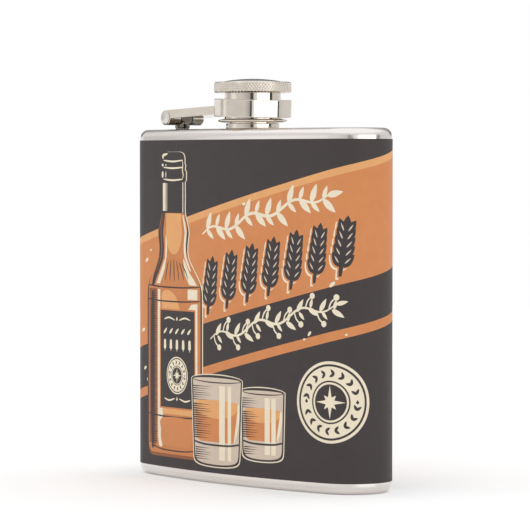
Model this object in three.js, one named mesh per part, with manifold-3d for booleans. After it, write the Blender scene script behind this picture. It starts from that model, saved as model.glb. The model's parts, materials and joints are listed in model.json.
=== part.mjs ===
// Hip flask: a curved stainless steel bottle in a printed vinyl wrap, with a screw cap that is held
// captive by a hinged arm. Millimetres, +Z up. The origin is on the base, under the middle of the neck.
// The front of the flask faces -Y, its hollow back faces +Y, and the hinge is on the -X side of the neck.

import * as THREE from 'three';
import { mergeVertices } from 'three/addons/utils/BufferGeometryUtils.js';
import Module from 'manifold-3d';

const wasm = await Module();
wasm.setup();

// ---------------------------------------------------------------- driving dimensions

// Flask body
const BODY_WIDTH = 95;          // over the two rounded sides, wrap included
const BODY_THICKNESS = 22.8;    // front face to back face, wrap included
const BODY_HEIGHT = 99;         // base to the top of the top plate
const BEND_RADIUS = 181.2;      // of the surface half-way between front and back
const SHEET = 0.6;              // steel sheet of the wall and both plates
const EDGE_RADIUS = 2.3;        // rounded shoulder of each plate
const PLATE_SKIRT = 4.2;        // depth of each drawn plate, down to its weld
const BARE_RIM = 3.05;          // steel left showing above and below the wrap
const WRAP_FILM = 0.15;         // printed vinyl
const GLUE_GAP = 0.05;          // adhesive between the vinyl and the wall

// Neck and its thread
const NECK_BORE = 5.6;          // radius of the pouring hole
const NECK_WALL = 0.75;
const NECK_HEIGHT = 7.4;        // top plate to lip
const COLLAR_WIDTH = 1.1;       // collar that stands on the top plate, beyond the neck
const COLLAR_HEIGHT = 1.5;
const TAIL_WIDTH = 1.1;         // flange that is swaged out under the top plate
const TAIL_THICKNESS = 0.8;
const PLATE_HOLE_CLEARANCE = 0.15;
const THREAD_DEPTH = 0.35;
const THREAD_PITCH = 1.25;
const THREAD_TURNS = 3;
const THREAD_WIDTH = 0.8;       // foot of the ridge, as a share of the pitch
const GROOVE_WIDTH = 0.9;       // mouth of the groove in the stem, as a share of the pitch
const THREAD_CLEARANCE = 0.4;   // neck thread crest to the bore of the cap stem

// Cap
const STEM_WALL = 0.75;
const STEM_LIFT = 0.25;         // neck collar to the lower end of the stem
const STEM_WEB = 1.3;           // closed end of the stem, under the head
const LINER_THICKNESS = 1.1;
const LINER_CLEARANCE = 0.2;    // to the neck lip, and to the stem bore
const RIVET_RADIUS = 3.5;       // boss that holds the head on the stem
const RIVET_HEAD = 0.4;
const HEAD_OVERHANG = 2.95;     // head beyond the stem
const HEAD_HEIGHT = 3.05;
const HEAD_FLOOR = 1.0;
const HEAD_WALL = 1.3;
const HEAD_CHAMFER = 0.35;
const KNURL_COLUMNS = 72;       // diamonds round the head
const KNURL_ROWS = 2;           // diamonds up the head
const KNURL_DEPTH = 0.16;
const DISC_CLEARANCE = 0.1;     // domed disc to the recess that it is pressed in
const DISC_EDGE = 0.45;
const DISC_DOME = 1.0;

// Retaining washer and arm
const WASHER_WIDTH = 1.8;
const WASHER_THICKNESS = 1.0;
const WASHER_CLEARANCE = 0.05;
const RING_PLAY = 0.6;          // ring hole to the stem
const RING_WALL = 1.53;         // thinnest, at the middle of each flat
const RING_HEIGHT = 4.95;
const RING_LIFT = 0.5;          // washer to the middle of the ring's lower face
const RING_TILT = 2;            // degrees, hinge side up
const RING_SIDES = 8;
const RING_BEVEL = 0.22;
const STRAP_WIDTH = 12.6;
const STRAP_THICKNESS = 2.4;
const STRAP_SLOPE = 2.6;        // degrees, rising from the hinge to the ring

// Hinge
const HINGE_OFFSET = 30.4;      // neck axis to the hinge pin
const PIN_HEIGHT = 3.4;         // top plate to the middle of the pin
const PIN_RADIUS = 0.95;
const PIN_CLEARANCE = 0.05;
const PIN_HEAD_WIDTH = 0.8;     // head beyond the pin
const PIN_HEAD_HEIGHT = 0.4;
const PIN_HEAD_FLAT = 0.6;      // flat end of the head, as a share of its radius
const KNUCKLE_WALL = 1.13;
const EYE_WIDTH = 3.9;          // post between the two knuckles
const EYE_CLEARANCE = 0.3;      // post to the sides and the end of the slot
const POST_COLLAR_FLARE = 0.2;  // collar beyond the post, less than the slot's clearance
const POST_COLLAR_HEIGHT = 1.75;

// Facets
const FACE_STEPS = 16;          // along the front or the back of the body
const END_STEPS = 16;           // round one side of the body
const EDGE_STEPS = 4;           // over a plate's shoulder
const ROUND_STEPS = 48;         // round the neck and the cap
const SMALL_STEPS = 24;         // round the pin, the post and the knuckles
const DOME_STEPS = 5;
const MERGE_DISTANCE = 1e-4;    // corners closer than this are one corner

// ---------------------------------------------------------------- sizes that follow

const HALF_TURN = Math.PI;
const QUARTER_TURN = Math.PI / 2;
const UP = new THREE.Vector3(0, 0, 1);

const STEEL_INSET = WRAP_FILM + GLUE_GAP;
const NECK_ROOT = NECK_BORE + NECK_WALL;
const THREAD_CREST = NECK_ROOT + THREAD_DEPTH;
const PLATE_TOP = BODY_HEIGHT;
const PLATE_UNDERSIDE = PLATE_TOP - SHEET;
const NECK_TOP = PLATE_TOP + NECK_HEIGHT;
const COLLAR_RADIUS = NECK_ROOT + COLLAR_WIDTH;

const STEM_BORE = THREAD_CREST + THREAD_CLEARANCE;
const STEM_RADIUS = STEM_BORE + STEM_WALL;
const STEM_BOTTOM = PLATE_TOP + COLLAR_HEIGHT + STEM_LIFT;
const LINER_BOTTOM = NECK_TOP + LINER_CLEARANCE;
const WEB_BOTTOM = LINER_BOTTOM + LINER_THICKNESS;
const HEAD_BOTTOM = WEB_BOTTOM + STEM_WEB;
const HEAD_TOP = HEAD_BOTTOM + HEAD_HEIGHT;
const RECESS_FLOOR = HEAD_BOTTOM + HEAD_FLOOR;
const HEAD_RADIUS = STEM_RADIUS + HEAD_OVERHANG;
const RECESS_RADIUS = HEAD_RADIUS - HEAD_WALL;

const WASHER_TOP = STEM_BOTTOM + WASHER_THICKNESS;
const RING_BORE = STEM_RADIUS + RING_PLAY;
const RING_RADIUS = (RING_BORE + RING_WALL) / Math.cos(HALF_TURN / RING_SIDES);
const RING_MIDDLE = WASHER_TOP + RING_LIFT + RING_HEIGHT / 2;

const PIN_Z = PLATE_TOP + PIN_HEIGHT;
const PIN_BORE = PIN_RADIUS + PIN_CLEARANCE;
const PIN_HEAD_RADIUS = PIN_RADIUS + PIN_HEAD_WIDTH;
const KNUCKLE_RADIUS = PIN_BORE + KNUCKLE_WALL;
const POST_RADIUS = EYE_WIDTH / 2;
const POST_COLLAR_RADIUS = POST_RADIUS + POST_COLLAR_FLARE;
const SLOT_WIDTH = EYE_WIDTH + 2 * EYE_CLEARANCE;

// ---------------------------------------------------------------- materials

function metal(color, roughness) {
  return new THREE.MeshStandardMaterial({ color, roughness, metalness: 1 });
}

const brushedSteel = metal(0xc9c4bd, 0.38);
const polishedSteel = metal(0xd6d1c9, 0.16);
const turnedSteel = metal(0x9b968e, 0.3);
const vinyl = new THREE.MeshStandardMaterial({ color: 0x4c4948, roughness: 0.45, metalness: 0 });
const linerPlastic = new THREE.MeshStandardMaterial({ color: 0xe9e6df, roughness: 0.6, metalness: 0 });

// ---------------------------------------------------------------- solids

// A closed mesh as a solid that can be cut and joined.
function toSolid(geometry) {
  const bare = geometry.clone();
  bare.deleteAttribute('normal');
  bare.deleteAttribute('uv');
  const merged = mergeVertices(bare, MERGE_DISTANCE);
  return new wasm.Manifold(new wasm.Mesh({
    numProp: 3,
    vertProperties: new Float32Array(merged.attributes.position.array),
    triVerts: new Uint32Array(merged.index.array),
  }));
}

function toGeometry(solid) {
  const mesh = solid.getMesh();
  const geometry = new THREE.BufferGeometry();
  geometry.setAttribute('position', new THREE.BufferAttribute(mesh.vertProperties, 3));
  geometry.setIndex(new THREE.BufferAttribute(mesh.triVerts, 1));
  geometry.computeVertexNormals();
  return geometry;
}

function cut(geometry, ...tools) {
  return toGeometry(tools.reduce((solid, tool) => solid.subtract(toSolid(tool)), toSolid(geometry)));
}

function join(geometry, ...others) {
  return toGeometry(others.reduce((solid, other) => solid.add(toSolid(other)), toSolid(geometry)));
}

// Joins rings of equal length into one closed body. Each ring runs counter-clockwise seen from above.
// A hollow stack returns to its first ring, and any other stack is closed by its two end rings.
function stack(rings, hollow) {
  const count = rings[0].length;
  const positions = rings.flat().flatMap((point) => [point.x, point.y, point.z]);
  const index = [];
  const bands = hollow ? rings.length : rings.length - 1;
  for (let band = 0; band < bands; band += 1) {
    const lower = band * count;
    const upper = ((band + 1) % rings.length) * count;
    for (let i = 0; i < count; i += 1) {
      const next = (i + 1) % count;
      index.push(lower + i, lower + next, upper + next);
      index.push(lower + i, upper + next, upper + i);
    }
  }
  if (!hollow) {
    const last = (rings.length - 1) * count;
    for (const [a, b, c] of THREE.ShapeUtils.triangulateShape(rings[0], [])) index.push(a, c, b);
    for (const [a, b, c] of THREE.ShapeUtils.triangulateShape(rings.at(-1), [])) {
      index.push(last + a, last + b, last + c);
    }
  }
  const geometry = new THREE.BufferGeometry();
  geometry.setAttribute('position', new THREE.Float32BufferAttribute(positions, 3));
  geometry.setIndex(index);
  geometry.computeVertexNormals();
  return geometry;
}

// A turned body about the Z axis. The profile is a list of [radius, z] and runs counter-clockwise.
function turned(profile, steps) {
  const points = profile.map(([radius, z]) => new THREE.Vector2(radius, z));
  return new THREE.LatheGeometry(points, steps).rotateX(QUARTER_TURN);
}

function disc(radius, bottom, top, steps) {
  return turned([[0, bottom], [radius, bottom], [radius, top], [0, top]], steps);
}

// A tube or washer about the Z axis, from a profile that closes on itself.
function turnedRing(profile, steps) {
  return turned([...profile, profile[0]], steps);
}

// A cylinder along Y, centred on y = 0.
function barrel(radius, width, x, z) {
  const cylinder = new THREE.CylinderGeometry(radius, radius, width, SMALL_STEPS);
  return cylinder.translate(x, 0, z);
}

// Points round the flask's section: a band of even thickness that is bent backwards, with round sides.
function sectionRing(inset, z) {
  const half = BODY_THICKNESS / 2 - inset;
  const sideAngle = Math.asin((BODY_WIDTH - BODY_THICKNESS) / 2 / BEND_RADIUS);
  const points = [];
  const addPoint = (radius, angle) => points.push(new THREE.Vector3(
    radius * Math.sin(angle), BEND_RADIUS - radius * Math.cos(angle), z));
  const addSide = (angle, firstTurn) => {
    const x = BEND_RADIUS * Math.sin(angle);
    const y = BEND_RADIUS - BEND_RADIUS * Math.cos(angle);
    for (let i = 0; i < END_STEPS; i += 1) {
      const turn = firstTurn + (HALF_TURN * i) / END_STEPS;
      points.push(new THREE.Vector3(x + half * Math.sin(turn), y - half * Math.cos(turn), z));
    }
  };
  for (let i = 0; i < FACE_STEPS; i += 1) {
    addPoint(BEND_RADIUS + half, sideAngle * ((2 * i) / FACE_STEPS - 1));
  }
  addSide(sideAngle, sideAngle);
  for (let i = 0; i < FACE_STEPS; i += 1) {
    addPoint(BEND_RADIUS - half, sideAngle * (1 - (2 * i) / FACE_STEPS));
  }
  addSide(-sideAngle, HALF_TURN - sideAngle);
  return points;
}

function sleeve(outerInset, innerInset, bottom, top) {
  return stack([
    sectionRing(outerInset, bottom),
    sectionRing(outerInset, top),
    sectionRing(innerInset, top),
    sectionRing(innerInset, bottom),
  ], true);
}

// A drawn end plate: a shallow pan with a rounded edge. The outward side is at outerZ.
function endPlate(outerZ, direction) {
  const shoulder = (radius, step) => {
    const angle = (QUARTER_TURN * step) / EDGE_STEPS;
    const inset = STEEL_INSET + EDGE_RADIUS - radius * Math.cos(angle);
    return sectionRing(inset, outerZ - direction * (EDGE_RADIUS - radius * Math.sin(angle)));
  };
  const rings = [];
  for (let step = EDGE_STEPS; step >= 0; step -= 1) rings.push(shoulder(EDGE_RADIUS - SHEET, step));
  rings.push(sectionRing(STEEL_INSET + SHEET, outerZ - direction * PLATE_SKIRT));
  rings.push(sectionRing(STEEL_INSET, outerZ - direction * PLATE_SKIRT));
  for (let step = 0; step <= EDGE_STEPS; step += 1) rings.push(shoulder(EDGE_RADIUS, step));
  return stack(direction > 0 ? rings : rings.reverse(), false);
}

// A right-handed helical ridge with a triangular section, which fades out over a quarter turn at each end.
function helix(rootRadius, tipRadius, bottom, footWidth) {
  const steps = THREAD_TURNS * SMALL_STEPS;
  const taperSteps = SMALL_STEPS / 4;
  const rings = [];
  for (let i = 0; i <= steps; i += 1) {
    const angle = (2 * HALF_TURN * i) / SMALL_STEPS;
    const z = bottom + (THREAD_PITCH * i) / SMALL_STEPS;
    const rise = Math.min(1, (i + 0.5) / taperSteps, (steps - i + 0.5) / taperSteps);
    const tip = rootRadius + (tipRadius - rootRadius) * rise;
    const half = (footWidth * rise) / 2;
    const section = [[rootRadius, -half], [tip, 0], [rootRadius, half]];
    rings.push(section.map(([radius, dz]) => new THREE.Vector3(radius, 0, z + dz)
      .applyAxisAngle(UP, angle)));
  }
  return helixBody(rings);
}

// Triangular rings joined along the helix, with a flat end at each side.
function helixBody(rings) {
  const positions = rings.flat().flatMap((point) => [point.x, point.y, point.z]);
  const index = [0, 1, 2];
  for (let i = 0; i < rings.length - 1; i += 1) {
    for (let side = 0; side < 3; side += 1) {
      const a = 3 * i + side;
      const b = 3 * i + ((side + 1) % 3);
      index.push(a, a + 3, b + 3, a, b + 3, b);
    }
  }
  const last = positions.length / 3 - 3;
  index.push(last, last + 2, last + 1);
  const geometry = new THREE.BufferGeometry();
  geometry.setAttribute('position', new THREE.Float32BufferAttribute(positions, 3));
  geometry.setIndex(index);
  return geometry;
}

const flask = new THREE.Group();

function addPart(name, geometry, material) {
  const mesh = new THREE.Mesh(geometry, material);
  mesh.name = name;
  flask.add(mesh);
}

// ---------------------------------------------------------------- body

function bodyWall() {
  return sleeve(STEEL_INSET, STEEL_INSET + SHEET, PLATE_SKIRT, BODY_HEIGHT - PLATE_SKIRT);
}

function vinylWrap() {
  return sleeve(0, WRAP_FILM, BARE_RIM, BODY_HEIGHT - BARE_RIM);
}

function topPlate() {
  const hole = disc(NECK_ROOT + PLATE_HOLE_CLEARANCE, PLATE_TOP - PLATE_SKIRT, NECK_TOP, ROUND_STEPS);
  return cut(endPlate(BODY_HEIGHT, 1), hole);
}

// ---------------------------------------------------------------- neck

function spoutNeck() {
  const tube = turnedRing([
    [NECK_BORE, PLATE_UNDERSIDE - TAIL_THICKNESS],
    [NECK_ROOT + TAIL_WIDTH, PLATE_UNDERSIDE - TAIL_THICKNESS],
    [NECK_ROOT + TAIL_WIDTH, PLATE_UNDERSIDE],
    [NECK_ROOT, PLATE_UNDERSIDE],
    [NECK_ROOT, PLATE_TOP],
    [COLLAR_RADIUS, PLATE_TOP],
    [COLLAR_RADIUS, PLATE_TOP + COLLAR_HEIGHT],
    [NECK_ROOT, PLATE_TOP + COLLAR_HEIGHT],
    [NECK_ROOT, NECK_TOP - THREAD_DEPTH],
    [NECK_ROOT - THREAD_DEPTH, NECK_TOP],
    [NECK_BORE, NECK_TOP],
  ], ROUND_STEPS);
  const threadBottom = PLATE_TOP + COLLAR_HEIGHT + THREAD_PITCH;
  const threadFoot = NECK_ROOT - NECK_WALL / 2;
  return join(tube, helix(threadFoot, THREAD_CREST, threadBottom, THREAD_PITCH * THREAD_WIDTH));
}

// ---------------------------------------------------------------- cap

function capStem() {
  const cup = turned([
    [0, WEB_BOTTOM],
    [STEM_BORE, WEB_BOTTOM],
    [STEM_BORE, STEM_BOTTOM],
    [STEM_RADIUS, STEM_BOTTOM],
    [STEM_RADIUS, HEAD_BOTTOM],
    [RIVET_RADIUS, HEAD_BOTTOM],
    [RIVET_RADIUS, RECESS_FLOOR + RIVET_HEAD],
    [0, RECESS_FLOOR + RIVET_HEAD],
  ], ROUND_STEPS);
  const groove = helix(STEM_BORE - THREAD_CLEARANCE, STEM_BORE + THREAD_DEPTH,
    STEM_BOTTOM + THREAD_PITCH, THREAD_PITCH * GROOVE_WIDTH);
  return cut(cup, groove);
}

function capLiner() {
  return disc(STEM_BORE - LINER_CLEARANCE, LINER_BOTTOM, WEB_BOTTOM, ROUND_STEPS);
}

function roundRing(radiusAt, z) {
  const count = 2 * KNURL_COLUMNS;
  return Array.from({ length: count }, (_, i) => new THREE.Vector3(radiusAt(i), 0, z)
    .applyAxisAngle(UP, (2 * HALF_TURN * i) / count));
}

function capHead() {
  const plain = (radius, z) => roundRing(() => radius, z);
  const knurlBottom = HEAD_BOTTOM + HEAD_CHAMFER;
  const knurlHeight = HEAD_HEIGHT - 2 * HEAD_CHAMFER;
  const rings = [plain(HEAD_RADIUS - HEAD_CHAMFER, HEAD_BOTTOM)];
  for (let row = 0; row <= 2 * KNURL_ROWS; row += 1) {
    const z = knurlBottom + (knurlHeight * row) / (2 * KNURL_ROWS);
    rings.push(roundRing((i) => HEAD_RADIUS - ((i + row) % 2) * KNURL_DEPTH, z));
  }
  rings.push(plain(HEAD_RADIUS - HEAD_CHAMFER, HEAD_TOP));
  rings.push(plain(RECESS_RADIUS, HEAD_TOP));
  rings.push(plain(RECESS_RADIUS, RECESS_FLOOR));
  rings.push(plain(RIVET_RADIUS + PIN_CLEARANCE, RECESS_FLOOR));
  rings.push(plain(RIVET_RADIUS + PIN_CLEARANCE, HEAD_BOTTOM));
  return stack(rings, true);
}

function capDisc() {
  const radius = RECESS_RADIUS - DISC_CLEARANCE;
  const edgeTop = HEAD_TOP - DISC_CLEARANCE;
  const sphere = (radius ** 2 + DISC_DOME ** 2) / (2 * DISC_DOME);
  const dome = (r) => edgeTop + DISC_DOME - sphere + Math.sqrt(sphere ** 2 - r ** 2);
  const profile = [[0, edgeTop - DISC_EDGE], [radius, edgeTop - DISC_EDGE]];
  for (let i = 0; i <= DOME_STEPS; i += 1) {
    const r = radius * (1 - i / DOME_STEPS);
    profile.push([r, dome(r)]);
  }
  return turned(profile, ROUND_STEPS);
}

// ---------------------------------------------------------------- washer and arm

function retainingWasher() {
  const inner = STEM_RADIUS + WASHER_CLEARANCE;
  const rim = STEM_RADIUS + WASHER_WIDTH;
  const step = WASHER_THICKNESS / 4;
  return turnedRing([
    [inner, STEM_BOTTOM],
    [rim - 4 * step, STEM_BOTTOM],
    [rim - step, STEM_BOTTOM + step],
    [rim, STEM_BOTTOM + 2 * step],
    [rim - step, STEM_BOTTOM + 3 * step],
    [rim - 4 * step, WASHER_TOP],
    [inner, WASHER_TOP],
  ], ROUND_STEPS);
}

function ringBlank() {
  const outline = new THREE.Shape();
  for (let i = 0; i < RING_SIDES; i += 1) {
    const angle = (2 * HALF_TURN * i) / RING_SIDES;
    const radius = RING_RADIUS - RING_BEVEL;
    outline[i === 0 ? 'moveTo' : 'lineTo'](radius * Math.cos(angle), radius * Math.sin(angle));
  }
  outline.closePath();
  const blank = new THREE.ExtrudeGeometry(outline, {
    depth: RING_HEIGHT - 2 * RING_BEVEL,
    bevelThickness: RING_BEVEL,
    bevelSize: RING_BEVEL,
    bevelSegments: 1,
  });
  return blank.translate(0, 0, RING_BEVEL - RING_HEIGHT / 2);
}

// Turns a body made about the ring's middle into the ring's slightly tilted place.
function placeOnRing(geometry) {
  return geometry.rotateY(THREE.MathUtils.degToRad(RING_TILT)).translate(0, 0, RING_MIDDLE);
}

function strapBlank() {
  const slope = THREE.MathUtils.degToRad(STRAP_SLOPE);
  const along = new THREE.Vector2(Math.cos(slope), Math.sin(slope));
  const across = new THREE.Vector2(-along.y, along.x);
  const pin = new THREE.Vector2(-HINGE_OFFSET, PIN_Z);
  const length = HINGE_OFFSET - RING_BORE + THREAD_CLEARANCE;
  const corner = (distance, height) => pin.clone()
    .addScaledVector(along, distance)
    .addScaledVector(across, height);
  const lower = KNUCKLE_RADIUS - STRAP_THICKNESS;
  const outline = new THREE.Shape([
    corner(0, lower), corner(length, lower), corner(length, KNUCKLE_RADIUS), corner(0, KNUCKLE_RADIUS),
  ]);
  const blank = new THREE.ExtrudeGeometry(outline, { depth: STRAP_WIDTH, bevelEnabled: false });
  return blank.rotateX(QUARTER_TURN).translate(0, STRAP_WIDTH / 2, 0);
}

function capArm() {
  const knuckles = barrel(KNUCKLE_RADIUS, STRAP_WIDTH, -HINGE_OFFSET, PIN_Z);
  const pinBore = barrel(PIN_BORE, 2 * STRAP_WIDTH, -HINGE_OFFSET, PIN_Z);
  const slotEnd = KNUCKLE_RADIUS + 2 * EYE_CLEARANCE;
  const slotLength = 2 * slotEnd;
  const slot = new THREE.BoxGeometry(slotLength, SLOT_WIDTH, slotLength)
    .translate(slotEnd - slotLength / 2 - HINGE_OFFSET, 0, PIN_Z);
  const ringBore = placeOnRing(disc(RING_BORE, -RING_HEIGHT, RING_HEIGHT, ROUND_STEPS));
  return cut(join(placeOnRing(ringBlank()), strapBlank(), knuckles), ringBore, pinBore, slot);
}

// ---------------------------------------------------------------- hinge

function hingePost() {
  const foot = turned([
    [0, PLATE_TOP],
    [POST_RADIUS, PLATE_TOP],
    [POST_RADIUS, PLATE_TOP + POST_COLLAR_HEIGHT / 3],
    [POST_COLLAR_RADIUS, PLATE_TOP + POST_COLLAR_HEIGHT / 2],
    [POST_RADIUS, PLATE_TOP + POST_COLLAR_HEIGHT],
    [POST_RADIUS, PIN_Z],
    [0, PIN_Z],
  ], SMALL_STEPS).translate(-HINGE_OFFSET, 0, 0);
  const eye = barrel(KNUCKLE_RADIUS, EYE_WIDTH, -HINGE_OFFSET, PIN_Z);
  const bore = barrel(PIN_BORE, 2 * EYE_WIDTH, -HINGE_OFFSET, PIN_Z);
  return cut(join(foot, eye), bore);
}

function hingePin() {
  const shank = STRAP_WIDTH / 2 + PIN_CLEARANCE;
  const end = shank + PIN_HEAD_HEIGHT;
  const pin = turned([
    [0, -end],
    [PIN_HEAD_RADIUS * PIN_HEAD_FLAT, -end],
    [PIN_HEAD_RADIUS, -shank - PIN_HEAD_HEIGHT / 2],
    [PIN_HEAD_RADIUS, -shank],
    [PIN_RADIUS, -shank],
    [PIN_RADIUS, shank],
    [PIN_HEAD_RADIUS, shank],
    [PIN_HEAD_RADIUS, shank + PIN_HEAD_HEIGHT / 2],
    [PIN_HEAD_RADIUS * PIN_HEAD_FLAT, end],
    [0, end],
  ], SMALL_STEPS);
  return pin.rotateX(QUARTER_TURN).translate(-HINGE_OFFSET, 0, PIN_Z);
}

// ---------------------------------------------------------------- assembly

addPart('body_wall', bodyWall(), brushedSteel);
addPart('top_plate', topPlate(), brushedSteel);
addPart('bottom_plate', endPlate(0, -1), brushedSteel);
addPart('vinyl_wrap', vinylWrap(), vinyl);
addPart('spout_neck', spoutNeck(), polishedSteel);
addPart('hinge_post', hingePost(), turnedSteel);
addPart('hinge_pin', hingePin(), turnedSteel);
addPart('cap_arm', capArm(), polishedSteel);
addPart('retaining_washer', retainingWasher(), polishedSteel);
addPart('cap_stem', capStem(), polishedSteel);
addPart('cap_head', capHead(), polishedSteel);
addPart('cap_disc', capDisc(), polishedSteel);
addPart('cap_liner', capLiner(), linerPlastic);

export default flask;
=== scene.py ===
import json
import math

import bpy
from mathutils import Matrix, Vector
from mathutils.geometry import delaunay_2d_cdt


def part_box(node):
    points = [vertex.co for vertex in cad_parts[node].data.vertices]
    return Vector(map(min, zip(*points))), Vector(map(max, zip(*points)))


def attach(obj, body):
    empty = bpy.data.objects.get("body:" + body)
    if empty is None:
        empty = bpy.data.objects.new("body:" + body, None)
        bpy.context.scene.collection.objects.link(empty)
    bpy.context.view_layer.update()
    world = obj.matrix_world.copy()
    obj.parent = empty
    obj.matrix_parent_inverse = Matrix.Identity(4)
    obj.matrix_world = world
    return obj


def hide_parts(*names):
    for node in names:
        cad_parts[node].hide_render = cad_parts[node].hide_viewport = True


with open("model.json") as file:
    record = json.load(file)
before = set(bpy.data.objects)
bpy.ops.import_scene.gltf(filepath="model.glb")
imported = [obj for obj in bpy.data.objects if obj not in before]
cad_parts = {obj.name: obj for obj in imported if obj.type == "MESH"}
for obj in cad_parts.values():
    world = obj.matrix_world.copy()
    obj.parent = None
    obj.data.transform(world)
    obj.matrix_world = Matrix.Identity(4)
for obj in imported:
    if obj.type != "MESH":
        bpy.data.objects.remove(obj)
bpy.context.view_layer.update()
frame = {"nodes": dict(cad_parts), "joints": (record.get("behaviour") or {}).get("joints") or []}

# Lengths below are millimetres and angles are degrees. The origin is on the base, under the neck.
# The front of the flask faces -Y. An azimuth runs from there towards +X, the side away from the hinge.

MM = 0.001

# Camera
CAMERA_AZIMUTH = 48.29
CAMERA_DISTANCE = 876.5
CAMERA_OFFSET = 3.44        # to the right of the neck axis
CAMERA_HEIGHT = 88.5
CAMERA_LENS = 212.9
CAMERA_SENSOR = 36
CAMERA_PITCH = 1.801        # looks down by this much

# Printed colours, as display values from 0 to 255
INKS = {
    "charcoal": (69, 63, 63),
    "orange": (210, 138, 88),
    "apricot": (227, 167, 111),
    "cream": (236, 224, 199),
    "glass": (210, 193, 176),
    "amber": (203, 132, 83),
    "sienna": (150, 94, 64),
}

# Sheet steel and vinyl
EDGE_RADIUS = 2.3           # rounded shoulder of each end plate
SHEET = 0.6
PLATE_SKIRT = 4.2
HOLE_LAP = 1.0              # how far the neck's collar reaches past its hole in the plate
FILM = 0.15
SEAM_GAP = 0.12             # where the ends of the vinyl meet, at the middle of the back

KNURL_COLUMNS = 72
KNURL_ROWS = 2
KNURL_DEPTH = 0.16
KNURL_FLAT = 0.5            # share of each diamond that is left flat

THREAD_PITCH = 1.25
THREAD_DEPTH = 0.35
THREAD_TURNS = 3

ROUND_STEPS = 128
FILLET_STEPS = 4
SHARP_ANGLE = 38
ON_AXIS = 1e-6              # a smaller radius counts as a point on the axis


# ---------------------------------------------------------------- frame

def box_mm(node):
    low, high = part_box(node)
    return low / MM, high / MM


def lowest(node):
    return box_mm(node)[0].z


def highest(node):
    return box_mm(node)[1].z


class Section:
    """The flask's outline seen from above: a band bent backwards, with round sides. A place on it is
    the distance s round it, which is 0 at the middle of the front and grows towards +X."""

    def __init__(self, node):
        low, high = box_mm(node)
        self.half = -low.y
        self.side_x = high.x - self.half
        self.side_y = high.y - self.half
        self.bend = (self.side_x ** 2 + self.side_y ** 2) / (2 * self.side_y)
        self.angle = math.asin(self.side_x / self.bend)
        self.front = (self.bend + self.half) * self.angle
        self.side = math.pi * self.half
        self.back = (self.bend - self.half) * self.angle
        self.seam = self.front + self.side + self.back

    def at(self, s):
        """The point and the outward direction at s."""
        away = abs(s)
        mirror = 1 if s >= 0 else -1
        if away <= self.front:
            turn = away / (self.bend + self.half)
            x = (self.bend + self.half) * math.sin(turn)
            y = self.bend - (self.bend + self.half) * math.cos(turn)
        elif away <= self.front + self.side:
            turn = self.angle + (away - self.front) / self.half
            x = self.side_x + self.half * math.sin(turn)
            y = self.side_y - self.half * math.cos(turn)
        else:
            left = self.angle - (away - self.front - self.side) / (self.bend - self.half)
            turn = left + math.pi
            x = (self.bend - self.half) * math.sin(left)
            y = self.bend - (self.bend - self.half) * math.cos(left)
        return Vector((mirror * x, y, 0)), Vector((mirror * math.sin(turn), -math.cos(turn), 0))

    def stations(self):
        """Places from seam to seam, close together round the sides."""
        corners = [-self.seam, -self.front - self.side, -self.front,
                   self.front, self.front + self.side, self.seam]
        counts = [14, 48, 32, 48, 14]
        places = [corners[0]]
        for start, end, count in zip(corners, corners[1:], counts):
            places += [start + (end - start) * (i + 1) / count for i in range(count)]
        return places

    def ring(self, inset, z):
        """A closed ring of points at height z, inset from the outline."""
        points = []
        for s in self.stations()[:-1]:
            point, out = self.at(s)
            points.append(point - out * inset + Vector((0, 0, z)))
        return points


SECTION = Section("vinyl_wrap")
STEEL_INSET = SECTION.half + box_mm("body_wall")[0].y


# ---------------------------------------------------------------- mesh helpers

def new_object(name, points, faces, materials, face_materials=None):
    """A mesh object from points in millimetres."""
    mesh = bpy.data.meshes.new(name)
    mesh.from_pydata([Vector(p) * MM for p in points], [], faces)
    for material in materials:
        mesh.materials.append(material)
    if face_materials:
        mesh.polygons.foreach_set("material_index", face_materials)
    mesh.update()
    made = bpy.data.objects.new(name, mesh)
    bpy.context.scene.collection.objects.link(made)
    return made


def apply_modifiers(piece):
    bpy.context.view_layer.update()
    result = bpy.data.meshes.new_from_object(
        piece.evaluated_get(bpy.context.evaluated_depsgraph_get()))
    piece.modifiers.clear()
    old = piece.data
    piece.data = result
    bpy.data.meshes.remove(old)


def smooth_shade(piece, angle=SHARP_ANGLE):
    """Smooth shading that keeps the edges sharper than angle, with flats that look flat."""
    piece.data.shade_smooth()
    piece.data.set_sharp_from_angle(angle=math.radians(angle))
    modifier = piece.modifiers.new("flat faces stay flat", "WEIGHTED_NORMAL")
    modifier.keep_sharp = True
    apply_modifiers(piece)


def weld(piece, distance):
    modifier = piece.modifiers.new("weld", "WELD")
    modifier.merge_threshold = distance * MM
    apply_modifiers(piece)


def soften(piece, width, segments, angle):
    modifier = piece.modifiers.new("softened edges", "BEVEL")
    modifier.width = width * MM
    modifier.segments = segments
    modifier.limit_method = "ANGLE"
    modifier.angle_limit = math.radians(angle)
    modifier.harden_normals = False
    apply_modifiers(piece)


def combine(piece, other, operation):
    """Joins other to piece, or cuts it away."""
    modifier = piece.modifiers.new("combine", "BOOLEAN")
    modifier.operation = operation
    modifier.solver = "EXACT"
    modifier.object = other
    apply_modifiers(piece)
    bpy.data.objects.remove(other)


def strip(rings, closed_stack=False):
    """Faces between rings of equal length, whose points are numbered in order."""
    count = len(rings[0])
    faces = []
    bands = len(rings) if closed_stack else len(rings) - 1
    for band in range(bands):
        lower = band * count
        upper = ((band + 1) % len(rings)) * count
        for i in range(count):
            j = (i + 1) % count
            faces.append((lower + i, lower + j, upper + j, upper + i))
    return faces


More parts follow.
